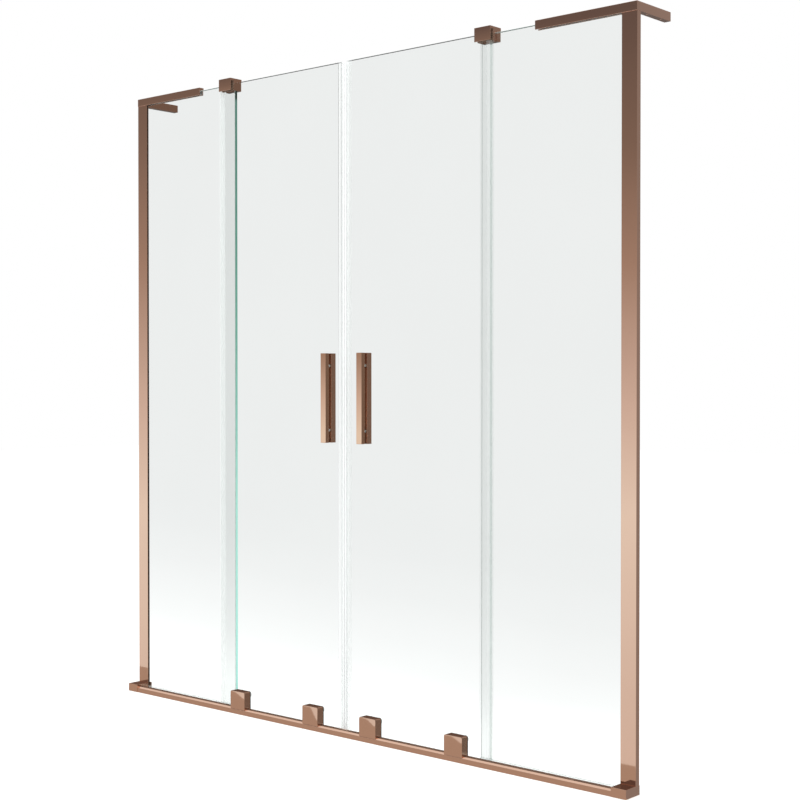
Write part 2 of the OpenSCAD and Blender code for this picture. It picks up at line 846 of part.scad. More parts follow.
side_seal(RIGHT);  // side_seal_right
drip_seal(LEFT);  // drip_seal_left
drip_seal(RIGHT);  // drip_seal_right
handle_front(LEFT);  // handle_front_left
handle_front(RIGHT);  // handle_front_right
handle_back(LEFT);  // handle_back_left
handle_back(RIGHT);  // handle_back_right
handle_bolts(LEFT);  // handle_bolts_left
handle_bolts(RIGHT);  // handle_bolts_right
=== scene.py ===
import math

import bmesh
import bpy
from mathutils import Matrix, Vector


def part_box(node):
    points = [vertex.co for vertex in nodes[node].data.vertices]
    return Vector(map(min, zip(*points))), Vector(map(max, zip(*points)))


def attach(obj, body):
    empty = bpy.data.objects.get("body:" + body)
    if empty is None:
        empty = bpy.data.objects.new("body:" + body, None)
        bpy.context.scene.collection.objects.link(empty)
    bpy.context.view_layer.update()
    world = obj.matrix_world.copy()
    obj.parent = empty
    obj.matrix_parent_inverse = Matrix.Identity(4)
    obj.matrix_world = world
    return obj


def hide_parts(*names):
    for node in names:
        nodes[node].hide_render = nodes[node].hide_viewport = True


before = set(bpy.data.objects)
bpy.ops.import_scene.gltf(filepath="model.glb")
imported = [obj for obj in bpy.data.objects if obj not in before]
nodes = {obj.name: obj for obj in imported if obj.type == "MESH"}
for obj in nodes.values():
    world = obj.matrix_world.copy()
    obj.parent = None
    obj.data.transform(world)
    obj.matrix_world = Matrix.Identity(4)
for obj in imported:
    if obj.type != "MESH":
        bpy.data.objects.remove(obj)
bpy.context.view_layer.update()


# The view: a camera at the height of the handles, in front of the right-hand end and turned
# towards the screen. It is almost level and has a long lens, so the uprights stay upright.
LENS_LENGTH = 66.05
SENSOR_WIDTH = 36
CAMERA_PLACE = (2.2306, -2.3458, 0.7854)
CAMERA_TILT = math.radians(89.253)
CAMERA_TURN = math.radians(41.317)
camera_data = bpy.data.cameras.new("view")
camera_data.lens = LENS_LENGTH
camera_data.sensor_width = SENSOR_WIDTH
camera = bpy.data.objects.new("view", camera_data)
camera.location = CAMERA_PLACE
camera.rotation_euler = (CAMERA_TILT, 0, CAMERA_TURN)
bpy.context.scene.collection.objects.link(camera)
bpy.context.scene.camera = camera
bpy.context.scene.view_settings.view_transform = "Standard"


# The studio: a white room, so the background and what is seen through the glass are white.
# Polished metal shows a room that is bright low down in front, dim above the horizon, with
# soft boxes overhead, behind and at both ends.
def feed(tree, socket, value):
    """Gives a socket a plain value, or a link from another socket."""
    if isinstance(value, bpy.types.NodeSocket):
        tree.links.new(value, socket)
    else:
        socket.default_value = value


def nodes_of(tree):
    """Short forms for adding a node, and for joining nodes with arithmetic."""

    def put(kind, **inputs):
        node = tree.nodes.new("ShaderNode" + kind)
        for name, value in inputs.items():
            feed(tree, node.inputs[name.replace("_", " ")], value)
        return node

    def reckon(operation, *values):
        node = tree.nodes.new("ShaderNodeMath")
        node.operation = operation
        for socket, value in zip(node.inputs, values):
            feed(tree, socket, value)
        return node.outputs[0]

    return put, reckon


def grey(level):
    """Solid grey of a given brightness."""
    return (level, level, level, 1)


def ramp(put, value, stops):
    """Colour ramp with stops given as (place, colour), where a number is a grey."""
    node = put("ValToRGB", Fac=value)
    elements = node.color_ramp.elements
    while len(elements) < len(stops):
        elements.new(0.5)
    for element, (place, colour) in zip(elements, sorted(stops)):
        element.position = place
        element.color = colour if isinstance(colour, tuple) else grey(colour)
    return node.outputs["Color"]


def blend_colours(tree, share, first, second):
    """The first colour at a share of 0, and the second at 1."""
    node = tree.nodes.new("ShaderNodeMix")
    node.data_type = "RGBA"
    factor, start, end = (node.inputs[i] for i in (0, 6, 7))
    for socket, value in ((factor, share), (start, first), (end, second)):
        feed(tree, socket, value)
    return node.outputs[2]


def smooth_step(put, value, low, high):
    """Rises smoothly from 0 at the low value to 1 at the high one."""
    node = put("MapRange", Value=value, From_Min=low, From_Max=high)
    node.interpolation_type = "SMOOTHSTEP"
    return node.outputs["Result"]


def mirror_share(put, reckon):
    """1 for a ray that has left a mirror, also where it went on through glass, else 0."""
    rays = put("LightPath").outputs
    after_mirror = reckon("GREATER_THAN", rays["Glossy Depth"], 0.5)
    return reckon("MULTIPLY", after_mirror, reckon("SUBTRACT", 1.0, rays["Is Diffuse Ray"]))


def height_place(degrees):
    """Place on a ramp that runs over the sine of the elevation from -0.5 to 0.5."""
    return math.sin(math.radians(degrees)) + 0.5


world = bpy.data.worlds.new("studio")
bpy.context.scene.world = world
world.use_nodes = True
tree = world.node_tree
tree.nodes.clear()
put, reckon = nodes_of(tree)
east, north, up = put("SeparateXYZ", Vector=put("TexCoord").outputs["Generated"]).outputs
flat = put("VectorMath", Vector=put("CombineXYZ", X=east, Y=north).outputs[0])
flat.operation = "NORMALIZE"
turn_east, turn_north, _ = put("SeparateXYZ", Vector=flat.outputs[0]).outputs

# In front, by elevation: a bright band just below the horizon, and dim from a little above it.
front = ramp(put, reckon("ADD", up, 0.5), [
    (height_place(-20), (0.78, 0.80, 0.80, 1)),
    (height_place(-12), (0.86, 0.95, 0.96, 1)),
    (height_place(-5), (1.00, 1.18, 1.21, 1)),
    (height_place(-1), (0.80, 0.85, 0.86, 1)),
    (height_place(4.5), (0.45, 0.41, 0.37, 1)),
    (height_place(9), (0.26, 0.24, 0.22, 1)),
    (height_place(14), (0.16, 0.15, 0.15, 1)),
])

# Behind, by how far a direction turns to the back. The far corner at the left is brown above the
# horizon and grey below it.
LEFT_FADE = (0.3, 0.5)
HORIZON_FADE = (0.04, 0.12)
UPPER_CORNER = (0.17, 0.115, 0.09, 1)
LOWER_CORNER = grey(0.17)
behind = ramp(put, turn_north, [
    (0.0, (0.225, 0.192, 0.170, 1)), (0.6, (0.230, 0.196, 0.173, 1)),
    (0.73, (0.255, 0.225, 0.202, 1)), (0.8, (0.280, 0.260, 0.245, 1)),
    (0.85, 0.32), (0.92, 0.5), (1.0, 0.9)])
far_left = smooth_step(put, reckon("MULTIPLY", turn_east, -1.0), *LEFT_FADE)
above = smooth_step(put, up, *HORIZON_FADE)
below = smooth_step(put, reckon("MULTIPLY", up, -1.0), *HORIZON_FADE)
behind = blend_colours(tree, reckon("MULTIPLY", far_left, above), behind, UPPER_CORNER)
behind = blend_colours(tree, reckon("MULTIPLY", far_left, below), behind, LOWER_CORNER)

# The soft boxes at both ends and overhead.
END_FADE = (0.86, 0.99)
END_BOX = grey(0.75)
BACK_FADE = (-0.45, 0.2)
CEILING_FADE = (0.4, 0.62)
CEILING_BACK_FADE = (0.2, 0.6)
CEILING_BOX = (0.96, 1.02, 1.02, 1)
CEILING_BACK = (0.42, 0.38, 0.35, 1)
ends = smooth_step(put, reckon("ABSOLUTE", turn_east), *END_FADE)
around = blend_colours(tree, ends, behind, END_BOX)
room = blend_colours(tree, smooth_step(put, turn_north, *BACK_FADE), front, around)
overhead = blend_colours(tree, smooth_step(put, turn_north, *CEILING_BACK_FADE),
                         CEILING_BOX, CEILING_BACK)
room = blend_colours(tree, smooth_step(put, up, *CEILING_FADE), room, overhead)

# The room only shows in mirrors. Other light is even, and the camera sees plain white.
EVEN_LIGHT = grey(0.8)
rays = put("LightPath").outputs
plain = reckon("MAXIMUM", rays["Is Camera Ray"], rays["Is Transmission Ray"])
unmirrored = blend_colours(tree, plain, EVEN_LIGHT, grey(1.0))
shown = blend_colours(tree, mirror_share(put, reckon), unmirrored, room)
output = tree.nodes.new("ShaderNodeOutputWorld")
tree.links.new(put("Background", Color=shown).outputs[0], output.inputs["Surface"])

LAMP_SIZE = (3.0, 2.0)
LAMP_POWER = 55
LAMP_PLACE = (0.4, -1.2, 3.2)
LAMP_AIM = (0, 0, 0.6)
lamp_data = bpy.data.lights.new("soft_box", "AREA")
lamp_data.shape = "RECTANGLE"
lamp_data.size, lamp_data.size_y = LAMP_SIZE
lamp_data.energy = LAMP_POWER
lamp = bpy.data.objects.new("soft_box", lamp_data)
lamp.location = LAMP_PLACE
lamp.rotation_euler = (Vector(LAMP_AIM) - lamp.location).to_track_quat("-Z", "Y").to_euler()
lamp.visible_glossy = False
lamp.visible_transmission = False
bpy.context.scene.collection.objects.link(lamp)


# The floor: white and wide, with the soft shadow of the screen. Mirrors show only a painted
# shadow of the screen on the strip of it right in front of the rail, and the room beyond.
def drawn_out(name, outline, axis, low, high):
    """Solid made by drawing a closed outline out along one axis."""
    mesh = bmesh.new()

    def ring(level):
        spots = []
        for point in outline:
            spot = list(point)
            spot.insert("XYZ".index(axis), level)
            spots.append(mesh.verts.new(spot))
        return spots

    first, last = ring(low), ring(high)
    mesh.faces.new(first)
    mesh.faces.new(last)
    for i in range(len(outline)):
        j = (i + 1) % len(outline)
        mesh.faces.new((first[i], first[j], last[j], last[i]))
    bmesh.ops.recalc_face_normals(mesh, faces=mesh.faces)
    data = bpy.data.meshes.new(name)
    mesh.to_mesh(data)
    mesh.free()
    piece = bpy.data.objects.new(name, data)
    bpy.context.scene.collection.objects.link(piece)
    return piece


def rectangle(low, high):
    """Outline of a rectangle between two corners."""
    return [(low[0], low[1]), (high[0], low[1]), (high[0], high[1]), (low[0], high[1])]


FLOOR_REACH = 12
FLOOR_LEVEL = -0.0005
FLOOR_THICKNESS = 0.02
FLOOR_TONE = grey(0.85)
CAMERA_GLOW = 0.4
floor = drawn_out("floor", rectangle((-FLOOR_REACH, -FLOOR_REACH), (FLOOR_REACH, FLOOR_REACH)),
                  "Z", FLOOR_LEVEL - FLOOR_THICKNESS, FLOOR_LEVEL)
paint = bpy.data.materials.new("white_floor")
paint.use_nodes = True
tree = paint.node_tree
tree.nodes.clear()
put, reckon = nodes_of(tree)
rays = put("LightPath").outputs
along, across, _ = put("SeparateXYZ", Vector=put("NewGeometry").outputs["Position"]).outputs

# Seen directly, it is matt and white, with a little light of its own.
matt = put("BsdfDiffuse", Color=FLOOR_TONE)
own_light = reckon("MULTIPLY", rays["Is Camera Ray"], CAMERA_GLOW)
glow = put("Emission", Color=grey(1.0), Strength=own_light)
seen = put("AddShader")
tree.links.new(matt.outputs[0], seen.inputs[0])
tree.links.new(glow.outputs[0], seen.inputs[1])

# Through the glass it shows a painted pool of light, brighter near the screen and a little
# towards the ends. Each pair is a distance from the screen and a brightness.
LIGHT_REACH = 3.2
SIDE_SHARE = -0.15
FLOOR_LIGHT = ((0.15, 1.36), (0.45, 1.22), (0.6, 1.16), (0.9, 1.107),
               (1.47, 1.046), (2.3, 1.011), (LIGHT_REACH, 1.0))
distance = reckon("ADD", reckon("ABSOLUTE", across),
                  reckon("MULTIPLY", reckon("ABSOLUTE", along), SIDE_SHARE))
lit = ramp(put, reckon("DIVIDE", distance, LIGHT_REACH),
           [(metres / LIGHT_REACH, level) for metres, level in FLOOR_LIGHT])

# In mirrors it is a strip of painted shadow. Each pair is a place along the rail and the strip's
# depth there, which is less in front of each carriage.
STRIP_REACH = 1.2
STRIP_SCALE = 0.3
STRIP_TONE = (0.51, 0.46, 0.40, 1)
STRIP_EDGE = ((-0.62, 0.161), (-0.61, 0.180), (-0.529, 0.176), (-0.443, 0.129), (-0.435, 0.180),
              (-0.259, 0.176), (-0.145, 0.083), (-0.137, 0.180), (-0.077, 0.176), (-0.007, 0.129),
              (0.001, 0.180), (0.181, 0.176), (0.239, 0.1375), (0.247, 0.180), (0.45, 0.161))
depth = ramp(put, reckon("ADD", reckon("DIVIDE", along, 2 * STRIP_REACH), 0.5),
             [(x / (2 * STRIP_REACH) + 0.5, y / STRIP_SCALE) for x, y in STRIP_EDGE])
within = reckon("GREATER_THAN", across, reckon("MULTIPLY", depth, -STRIP_SCALE))
strip = reckon("MULTIPLY", within, reckon("LESS_THAN", across, 0.0))


def pick(tree, share, first, second):
    """The first shader at a share of 0, and the second at 1."""
    put, _ = nodes_of(tree)
    node = put("MixShader", Fac=share)
    tree.links.new(first.outputs[0], node.inputs[1])
    tree.links.new(second.outputs[0], node.inputs[2])
    return node


in_mirror = pick(tree, strip, put("BsdfTransparent"), put("Emission", Color=STRIP_TONE))
in_glass = put("Emission", Color=grey(1.0), Strength=lit)
surface = pick(tree, rays["Is Transmission Ray"], seen, in_glass)
surface = pick(tree, mirror_share(put, reckon), surface, in_mirror)
output = tree.nodes.new("ShaderNodeOutputMaterial")
tree.links.new(surface.outputs[0], output.inputs["Surface"])
floor.data.materials.append(paint)


# Wall profiles: upright channels of extruded aluminium, polished to a mirror and tinted rose
# gold. Each is screwed to the wall through its web and takes the outer edge of a fixed pane.
def material_for(name):
    """New material, with its tree and its shader."""
    material = bpy.data.materials.new(name)
    material.use_nodes = True
    return material, material.node_tree, material.node_tree.nodes["Principled BSDF"]


def streaks(tree, stretch, fineness):
    """Noise in the piece's own space, drawn out along the axes where the stretch is under 1."""
    put, _ = nodes_of(tree)
    mapping = put("Mapping", Vector=put("TexCoord").outputs["Object"], Scale=stretch)
    noise = put("TexNoise", Vector=mapping.outputs[0], Scale=fineness, Detail=4.0, Roughness=0.6)
    return noise.outputs["Fac"]


NOISE_SPAN = (0.25, 0.75)


def spread(tree, noise, low, high):
    """Spreads a noise between two values."""
    put, _ = nodes_of(tree)
    span = put("MapRange", Value=noise, From_Min=NOISE_SPAN[0], From_Max=NOISE_SPAN[1],
               To_Min=low, To_Max=high)
    return span.outputs["Result"]


def shaded(colour, share):
    """Lighter or darker tone of a colour."""
    return tuple(share * value for value in colour[:3]) + (1,)


def mottle(tree, shader, noise, first, second):
    """Lets the base colour wander between two close tones."""
    tone = blend_colours(tree, spread(tree, noise, 0, 1), first, second)
    tree.links.new(tone, shader.inputs["Base Color"])
    return tone


def grain(tree, shader, noise, roughness, depth=0.0):
    """Lets the roughness wander over a range, and presses the noise into the surface."""
    tree.links.new(spread(tree, noise, *roughness), shader.inputs["Roughness"])
    if depth:
        put, _ = nodes_of(tree)
        node = put("Bump", Height=noise, Distance=depth, Strength=1.0)
        tree.links.new(node.outputs[0], shader.inputs["Normal"])


ROSE_GOLD = (0.755, 0.465, 0.349)
CLOUDING = (0.985, 1.015)
POLISH_ROUGHNESS = (0.035, 0.075)
POLISH_DEPTH = 0.0000012


def rose_gold(name, stretch, tone=ROSE_GOLD):
    """Polished and tinted metal, with the fine streaks of the wheel along the given stretch."""
    material, tree, shader = material_for(name)
    shader.inputs["Metallic"].default_value = 1.0
    clouds = streaks(tree, (3, 3, 3), fineness=4.0)
    mottle(tree, shader, clouds, *(shaded(tone, share) for share in CLOUDING))
    wheel_marks = streaks(tree, stretch, fineness=900.0)
    grain(tree, shader, wheel_marks, POLISH_ROUGHNESS, POLISH_DEPTH)
    return material


GOLD_UPRIGHT = rose_gold("rose_gold_upright", (1, 1, 0.02))
GOLD_ALONG = rose_gold("rose_gold_along", (0.02, 1, 1))
GOLD_BLOCK = rose_gold("rose_gold_block", (1, 0.15, 0.15))


def cut_out(piece, tools):
    """Takes the tools' shapes out of the piece, and removes them. A tool reaches 1 mm past it."""
    for tool in tools:
        cut = piece.modifiers.new("cut", "BOOLEAN")
        cut.operation = "DIFFERENCE"
        cut.solver = "EXACT"
        cut.object = tool
    bpy.context.view_layer.update()
    result = piece.evaluated_get(bpy.context.evaluated_depsgraph_get())
    mesh = bpy.data.meshes.new_from_object(result)
    piece.modifiers.clear()
    piece.data = mesh
    for tool in tools:
        bpy.data.objects.remove(tool)


def round_outline(centre, radius, steps=32):
    """Outline of a circle."""
    turn = 2 * math.pi / steps
    return [(centre[0] + radius * math.cos(i * turn), centre[1] + radius * math.sin(i * turn))
            for i in range(steps)]


SHARP_ANGLE = math.radians(30)
ROUND_STEPS = 3


def break_edges(piece, width):
    """Small rounds on all sharp edges, with flat faces left flat."""
    for face in piece.data.polygons:
        face.use_smooth = True
    bevel = piece.modifiers.new("edges", "BEVEL")
    bevel.width = width
    bevel.segments = ROUND_STEPS
    bevel.limit_method = "ANGLE"
    bevel.angle_limit = SHARP_ANGLE
    bevel.harden_normals = True
    even = piece.modifiers.new("normals", "WEIGHTED_NORMAL")
    even.weight = 100


def dress(piece, material, body, slot, *replaced):
    """Gives a new piece its material and body, in the place of the nodes that it stands for."""
    piece.data.materials.clear()
    piece.data.materials.append(material)
    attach(piece, body)
    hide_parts(*replaced)


def outer(side, low, high):
    """The ends of a box along X, the one nearer the wall first, and the step towards the wall."""
    return (low.x, high.x, -1) if side == "left" else (high.x, low.x, 1)


MM = 0.001
SIDES = ("left", "right")
EDGE_ROUND = 0.5 * MM
PROFILE_WEB = 2 * MM
PROFILE_FLANGE = 1.5 * MM
REAR_FLANGE = 28 * MM
for side in SIDES:
    low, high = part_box("wall_profile_" + side)
    wall, mouth, outwards = outer(side, low, high)
    web = wall - outwards * PROFILE_WEB
    slot_low, slot_high = low.y + PROFILE_FLANGE, high.y - PROFILE_FLANGE
    rear = wall - outwards * REAR_FLANGE
    section = [(mouth, low.y), (wall, low.y), (wall, high.y), (rear, high.y),
               (rear, slot_high), (web, slot_high), (web, slot_low), (mouth, slot_low)]
    post = drawn_out("wall_post_" + side, section, "Z", low.z, high.z)
    break_edges(post, EDGE_ROUND)
    dress(post, GOLD_UPRIGHT, "frame", "rose_gold_metal", "wall_profile_" + side)


def give(node, material):
    """Gives a node that stays as it is its material."""
    mesh = nodes[node].data
    mesh.materials.clear()
    mesh.materials.append(material)


def glowing(tree, shader, tone, strength):
    """Adds a little light of the surface's own tone, for narrow places that get none."""
    tree.links.new(tone, shader.inputs["Emission Color"])
    shader.inputs["Emission Strength"].default_value = strength


SKIN_SHADE = 0.85
SKIN_ROUGHNESS = 0.06
SKIN_DEPTH = 0.00001


def moulded(name, colour, roughness, fineness=900.0, depth=SKIN_DEPTH, glow=0.0):
    """Matt material with a fine even skin, as moulded rubber and plastic have. Its glow is painted
    light.
    """
    material, tree, shader = material_for(name)
    skin = streaks(tree, (1, 1, 1), fineness)
    tone = mottle(tree, shader, skin, shaded(colour, SKIN_SHADE), shaded(colour, 1))
    glowing(tree, shader, tone, glow)
    grain(tree, shader, skin, (roughness - SKIN_ROUGHNESS, roughness + SKIN_ROUGHNESS), depth)
    return material


RUBBER = moulded("dark_rubber", (0.060, 0.036, 0.026), roughness=0.55, fineness=1400.0,
                 depth=2 * SKIN_DEPTH)
for side in SIDES:
    give("profile_gasket_" + side, RUBBER)


# Fixed panes: 8 mm clear toughened glass, one at each end, with flat polished edges and a fine
# arris. Seen along the pane the edges are green, with painted light low down by the white floor.
HAZE_ROUGHNESS = 0.01


def filled(name, low, high, front_gap=0, back_gap=0):
    """Block that fills a box, less a gap at its front or its back."""
    return drawn_out(name, rectangle((low.x, low.z), (high.x, high.z)),
                     "Y", low.y + front_gap, high.y - back_gap)


def drill(centre, radius, start, end, axis="Y"):
    """Round tool along an axis."""
    return drawn_out("drill", round_outline(centre, radius), axis, start, end)


def let_through(tree, share, shader, tint=(1, 1, 1, 1)):
    """Lets a share of the rays straight through the shader, and puts it on the surface."""
    put, _ = nodes_of(tree)
    surface = pick(tree, share, shader, put("BsdfTransparent", Color=tint))
    tree.links.new(surface.outputs[0], tree.nodes["Material Output"].inputs["Surface"])


def clear_sheet(name, tint, ior, roughness=0.0, from_within=True):
    """Clear material that lets the light of lamps through, and may be left unseen from within."""
    material, tree, shader = material_for(name)
    put, reckon = nodes_of(tree)
    shader.inputs["Transmission Weight"].default_value = 1.0
    shader.inputs["IOR"].default_value = ior
    haze = streaks(tree, (1, 1, 1), fineness=3.0)
    mottle(tree, shader, haze, tint, shaded(tint, CLOUDING[0]))
    grain(tree, shader, haze, roughness=(roughness, roughness + HAZE_ROUGHNESS))
    unseen = put("LightPath").outputs["Is Shadow Ray"]
    if not from_within:
        unseen = reckon("MAXIMUM", unseen, put("NewGeometry").outputs["Backfacing"])
    let_through(tree, unseen, shader, tint)
    return material


SCREEN_HEIGHT = 1.5
EDGE_GLOW = 0.3


def shade_upwards(tree, shader, stops):
    """Paints light and shade into the shader's colour by its height, as a share of the screen's.
    """
    put, _ = nodes_of(tree)
    height = put("SeparateXYZ", Vector=put("NewGeometry").outputs["Position"]).outputs["Z"]
    share = put("MapRange", Value=height, From_Max=SCREEN_HEIGHT).outputs["Result"]
    tone = ramp(put, share, stops)
    tree.links.new(tone, shader.inputs["Base Color"])
    glowing(tree, shader, tone, EDGE_GLOW)


def polished_edge(name):
    """Green from outside, and clear from within the glass and in mirrors. Painted light makes it
    brighter low down, and a painted reflection of the guide makes it almost black at the top."""
    material, tree, shader = material_for(name)
    put, reckon = nodes_of(tree)
    unseen = reckon("MAXIMUM", put("NewGeometry").outputs["Backfacing"], mirror_share(put, reckon))
    let_through(tree, unseen, shader)
    shade_upwards(tree, shader, [
        (0.05, (0.530, 0.980, 0.880, 1)), (0.33, (0.440, 0.850, 0.730, 1)),
        (0.47, (0.285, 0.625, 0.520, 1)), (0.6, (0.184, 0.445, 0.352, 1)),
        (0.73, (0.133, 0.332, 0.262, 1)), (0.968, (0.091, 0.212, 0.171, 1)),
        (0.972, (0.010, 0.028, 0.022, 1))])
    grain(tree, shader, streaks(tree, (1, 1, 0.05), fineness=500.0), roughness=(0.18, 0.32))
    shader.inputs["Specular IOR Level"].default_value = 0.3
    return material


FACE_IOR = 1.08
EDGE_IOR = 1.12
EDGE_ROUGHNESS = 0.1
EDGE_TINT = (0.93, 0.955, 0.95, 1)
GLASS = clear_sheet("clear_glass", (0.850, 0.867, 0.860, 1), FACE_IOR)
GLASS_EDGE = polished_edge("green_glass_edge")
COVERED_EDGE = clear_sheet("covered_edge", EDGE_TINT, EDGE_IOR, EDGE_ROUGHNESS)
LOWER_EDGE = clear_sheet("lower_edge", EDGE_TINT, EDGE_IOR, EDGE_ROUGHNESS, from_within=False)
ARRIS = moulded("ground_arris", (0.55, 0.63, 0.60), roughness=0.5, fineness=1200.0)
ARRIS_WIDTH = 0.7 * MM

# The order of a pane's finishes, and how much of a face's normal has to lie along an axis for the
# face to count as facing that way, or as square on to it.
ON_FACE, ON_EDGE, ON_ARRIS, ON_COVERED_EDGE, ON_LOWER_EDGE = range(5)
FACING = 0.9
SQUARE_ON = 0.99


def pane(name, node, edge, holes=(), ends=(-1, 1)):
    """Sheet of glass with a small arris on every edge, also round its holes. The given edge finish
    goes on the given ends, -1 for the left one and 1 for the right one."""
    low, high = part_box(node)
    sheet = filled(name, low, high)
    if holes:
        cut_out(sheet, [drill((x, z), radius, low.y - MM, high.y + MM) for x, z, radius in holes])
    sheet.data.materials.clear()
    for material in (GLASS, edge, ARRIS, COVERED_EDGE, LOWER_EDGE):
        sheet.data.materials.append(material)
    for face in sheet.data.polygons:
        if abs(face.normal.y) > FACING:
            face.material_index = ON_FACE
        elif abs(face.normal.z) > FACING and face.center.z <= (low.z + high.z) / 2:
            face.material_index = ON_LOWER_EDGE
        elif any(face.normal.x * end > SQUARE_ON for end in ends):
            face.material_index = ON_EDGE
        else:
            face.material_index = ON_COVERED_EDGE
    arris = sheet.modifiers.new("arris", "BEVEL")
    arris.width = ARRIS_WIDTH
    arris.segments = 1
    arris.limit_method = "ANGLE"
    arris.angle_limit = SHARP_ANGLE
    arris.material = ON_ARRIS
    return sheet


def seat_glass(sheet, body, node):
    """Puts a finished sheet on its body, in the place of its node."""
    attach(sheet, body)
    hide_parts(node)


for side in SIDES:
    node = "fixed_glass_" + side
    seat_glass(pane("fixed_pane_" + side, node, GLASS_EDGE), "frame", node)


# Sill seals: extruded strips of clear vinyl, pushed on the lower edges of the fixed panes. They
# close the gap between the glass and the rim.
WHITE_VINYL = (0.95, 0.97, 0.965)
VINYL_SHADE = 0.95


def vinyl_film(name, cover, glow, colour=WHITE_VINYL):
    """Thin clear plastic, of which each wall covers a share of what is behind it. The glow is
    painted light that stands in for the light it passes on from there."""
    material, tree, shader = material_for(name)
    skin = streaks(tree, (1, 1, 0.05), fineness=300.0)
    tone = mottle(tree, shader, skin, shaded(colour, VINYL_SHADE), shaded(colour, 1))
    glowing(tree, shader, tone, glow)
    grain(tree, shader, skin, roughness=(0.22, 0.34))
    shader.inputs["Alpha"].default_value = cover
    return material


FOOT_SEAL = vinyl_film("clear_foot_vinyl", cover=0.05, glow=0.5)
for side in SIDES:
    give("sill_seal_" + side, FOOT_SEAL)


# Top brackets: a channel bar on the top edge of each fixed pane, and an arm that runs back
# along the wall. Polished like the profiles, with a clear liner and set screws under the arm.
BAR_D = 14 * MM
LINER = 0.75 * MM
SLOT_PAST_GLASS = 0.75 * MM
STUD_DEPTH = 9 * MM
STUD_PITCH = 50 * MM
SET_SCREW_R = 2 * MM
CLEAR_LINER = vinyl_film("clear_liner", cover=0.2, glow=0.0)


def two_at(middle, pitch):
    """Two places a pitch apart, one on each side of a middle."""
    return middle - pitch / 2, middle + pitch / 2


for side in SIDES:
    low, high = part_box("top_bracket_" + side)
    glass_low, glass_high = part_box("fixed_glass_" + side)
    wall, tip, outwards = outer(side, low, high)
    bar_back = low.y + BAR_D
    arm = wall - outwards * BAR_D
    plan = [(tip, low.y), (wall, low.y), (wall, high.y),
            (arm, high.y), (arm, bar_back), (tip, bar_back)]
    bracket = drawn_out("top_bracket_bar_" + side, plan, "Z", low.z, high.z)
    glass_end = outer(side, glass_low, glass_high)[0] + outwards * SLOT_PAST_GLASS
    slot = rectangle((glass_low.y - LINER, low.z - MM),
                     (glass_high.y + LINER, glass_high.z + LINER))
    tools = [drawn_out("slot", slot, "X", *sorted((tip - outwards * MM, glass_end)))]
    stud_z = (low.z + high.z) / 2
    screw_x = wall - outwards * STUD_DEPTH / 2
    for screw_y in two_at((bar_back + high.y) / 2, STUD_PITCH):
        tools.append(drill((screw_x, screw_y), SET_SCREW_R, low.z - MM, stud_z - MM, "Z"))
    cut_out(bracket, tools)
    break_edges(bracket, EDGE_ROUND)
    dress(bracket, GOLD_ALONG, "frame", "rose_gold_metal", "top_bracket_" + side)
    give("bracket_liner_" + side, CLEAR_LINER)


def turned_steel(name):
    """Stainless steel with the fine marks of turning."""
    material, tree, shader = material_for(name)
    shader.inputs["Metallic"].default_value = 1.0
    fine = streaks(tree, (1, 0.1, 1), fineness=1600.0)
    mottle(tree, shader, fine, (0.52, 0.53, 0.55, 1), (0.62, 0.63, 0.65, 1))
    grain(tree, shader, fine, roughness=(0.2, 0.34), depth=0.000004)
    return material


STEEL = turned_steel("stainless_steel")
give("arm_set_screws", STEEL)


# Bottom rail: one solid metal bar on the rim, polished and tinted, with a bevel along its front
# and a groove in its top that the rollers run in. Small stops in the groove end the doors' travel.
RAIL_ROUND = 0.3 * MM
RAIL_BEVEL = 3.5 * MM
GROOVE_W = 7.2 * MM
GROOVE_DEPTH = 2.5 * MM
DOWEL_R = 3 * MM
DOWEL_GRIP = 20 * MM
low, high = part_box("bottom_rail")
groove_floor = high.z - GROOVE_DEPTH
section = [(low.y, low.z), (high.y, low.z), (high.y, high.z), (GROOVE_W / 2, high.z),
           (GROOVE_W / 2, groove_floor), (-GROOVE_W / 2, groove_floor), (-GROOVE_W / 2, high.z),
           (low.y + RAIL_BEVEL, high.z), (low.y, high.z - RAIL_BEVEL)]
rail = drawn_out("rail_bar", section, "X", low.x, high.x)
dowel_z = groove_floor / 2
cut_out(rail, [drill((0, dowel_z), DOWEL_R, low.x - MM, low.x + DOWEL_GRIP, "X"),
               drill((0, dowel_z), DOWEL_R, high.x - DOWEL_GRIP, high.x + MM, "X")])
break_edges(rail, RAIL_ROUND)
dress(rail, GOLD_ALONG, "frame", "rose_gold_metal", "bottom_rail")


def second_material(piece, material, chosen):
    """Gives another material to the faces for which the given test holds."""
    piece.data.materials.append(material)
    for face in piece.data.polygons:
        if chosen(face):
            face.material_index = 1


MACHINED = moulded("machined_metal", (0.24, 0.15, 0.105), roughness=0.6, glow=0.1)
MARGIN = 0.2 * MM


def matt_inside(piece, low, high):
    """Leaves the walls of a slot, inside the given box, as machined."""
    second_material(piece, MACHINED, lambda face: all(
        start < middle < end for start, middle, end in zip(low, face.center, high)))


matt_inside(rail, (low.x - MM, -GROOVE_W / 2 - MARGIN, groove_floor - MARGIN),
            (high.x + MM, GROOVE_W / 2 + MARGIN, high.z - MARGIN))
DARK_PLASTIC = moulded("dark_plastic", (0.20, 0.125, 0.088), roughness=0.4, glow=0.2)
give("rail_stops", DARK_PLASTIC)


